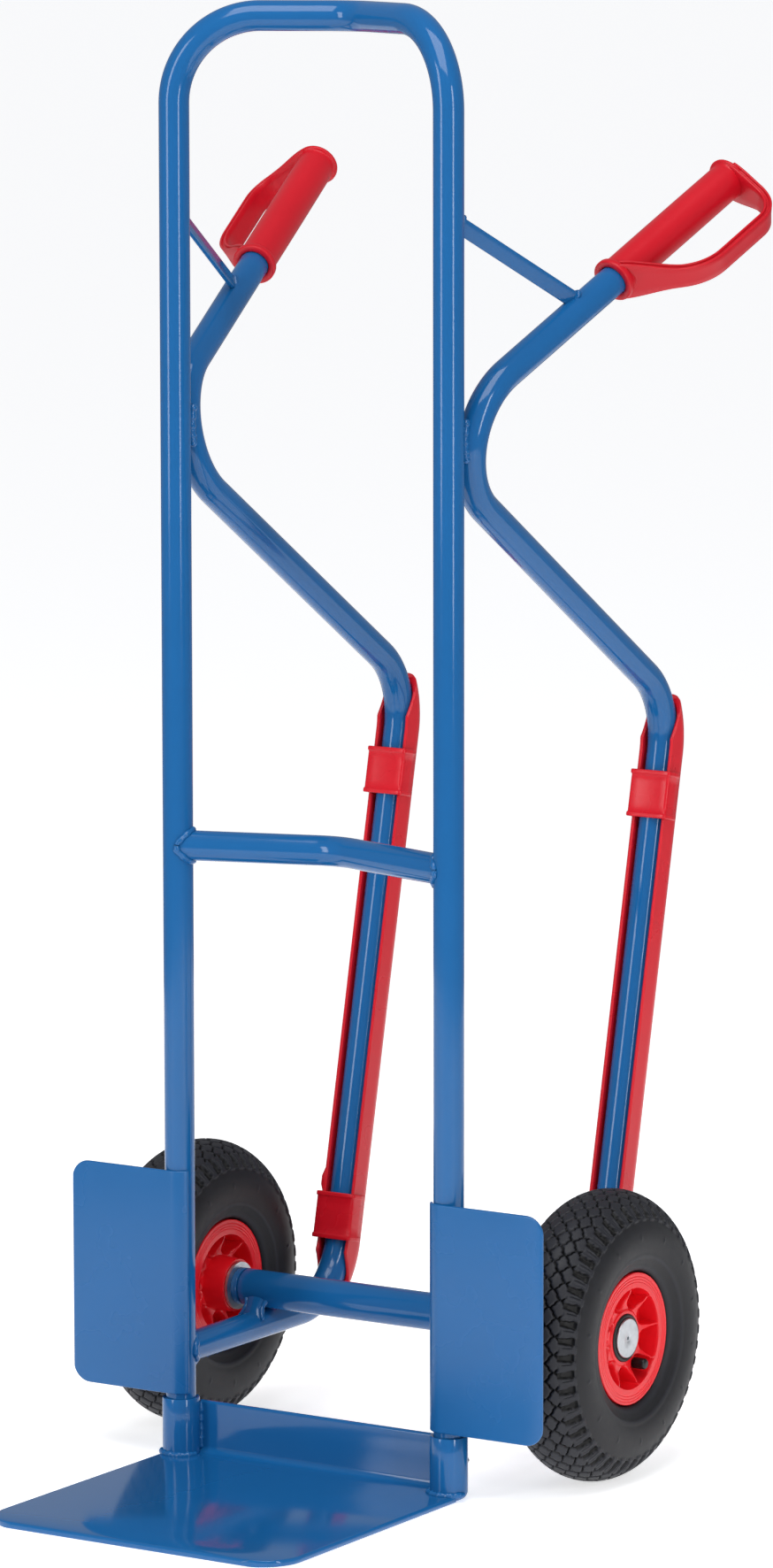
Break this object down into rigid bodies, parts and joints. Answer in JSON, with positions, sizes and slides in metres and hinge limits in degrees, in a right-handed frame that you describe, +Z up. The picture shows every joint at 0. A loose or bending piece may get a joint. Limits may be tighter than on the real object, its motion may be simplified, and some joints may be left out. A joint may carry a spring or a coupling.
{
  "type": "hand truck",
  "caption": "Upright two-wheeled hand truck: bent tube frame with load plate, looped rear handles, stair skids and free-rolling pneumatic wheels.",
  "frame": {"origin": "middle of the toe plate's underside, straight below the centre lines of the two uprights, on the floor", "axes": "+Z up along the uprights, the longest extent; -Y forwards over the toe plate, +Y back to the wheels and handles; +X to the right seen from the front"},
  "size_m": [0.5514, 0.6787, 1.3002],
  "materials": {
    "frame_blue": "gloss",
    "sheet_blue": "gloss",
    "zinc_steel": "satin",
    "bearing_steel": "satin",
    "tyre_rubber": "matte",
    "tube_rubber": "matte",
    "rim_red": "gloss",
    "valve_brass": "satin",
    "cap_black": "satin",
    "grip_red": "satin",
    "skid_red": "satin"
  },
  "bodies": {
    "frame": {"main_hoop": "frame_blue", "middle_crossbar": "frame_blue", "side_tube_left": "frame_blue", "side_tube_right": "frame_blue", "axle_tube": "frame_blue", "axle_gusset_left": "frame_blue", "axle_gusset_right": "frame_blue", "handle_brace_left": "frame_blue", "handle_brace_right": "frame_blue", "wheel_guard_left": "sheet_blue", "wheel_guard_right": "sheet_blue", "toe_plate": "sheet_blue", "toe_socket_left": "frame_blue", "toe_socket_right": "frame_blue", "socket_bolts": "zinc_steel", "socket_nuts": "zinc_steel", "axle_shaft": "zinc_steel", "axle_bush_left": "frame_blue", "axle_bush_right": "frame_blue", "inner_washer_left": "zinc_steel", "inner_washer_right": "zinc_steel", "end_washer_left": "zinc_steel", "end_washer_right": "zinc_steel", "end_screw_left": "zinc_steel", "end_screw_right": "zinc_steel", "grip_left": "grip_red", "grip_right": "grip_red", "skid_left": "skid_red", "skid_right": "skid_red", "skid_clip_upper_left": "skid_red", "skid_clip_upper_right": "skid_red", "skid_clip_lower_left": "skid_red", "skid_clip_lower_right": "skid_red"},
    "wheel_left": {"tyre_left": "tyre_rubber", "inner_tube_left": "tube_rubber", "rim_left": "rim_red", "inner_bearing_left": "bearing_steel", "outer_bearing_left": "bearing_steel", "hub_spacer_left": "zinc_steel", "valve_stem_left": "valve_brass", "valve_cap_left": "cap_black"},
    "wheel_right": {"tyre_right": "tyre_rubber", "inner_tube_right": "tube_rubber", "rim_right": "rim_red", "inner_bearing_right": "bearing_steel", "outer_bearing_right": "bearing_steel", "hub_spacer_right": "zinc_steel", "valve_stem_right": "valve_brass", "valve_cap_right": "cap_black"}
  },
  "joints": [
    {"name": "wheel_left_spin", "type": "hinge", "parent": "frame", "child": "wheel_left", "pos_m": [-0.2155, 0.136, 0.13], "axis": [1, 0, 0], "continuous": true},
    {"name": "wheel_right_spin", "type": "hinge", "parent": "frame", "child": "wheel_right", "pos_m": [0.2155, 0.136, 0.13], "axis": [1, 0, 0], "continuous": true}
  ]
}
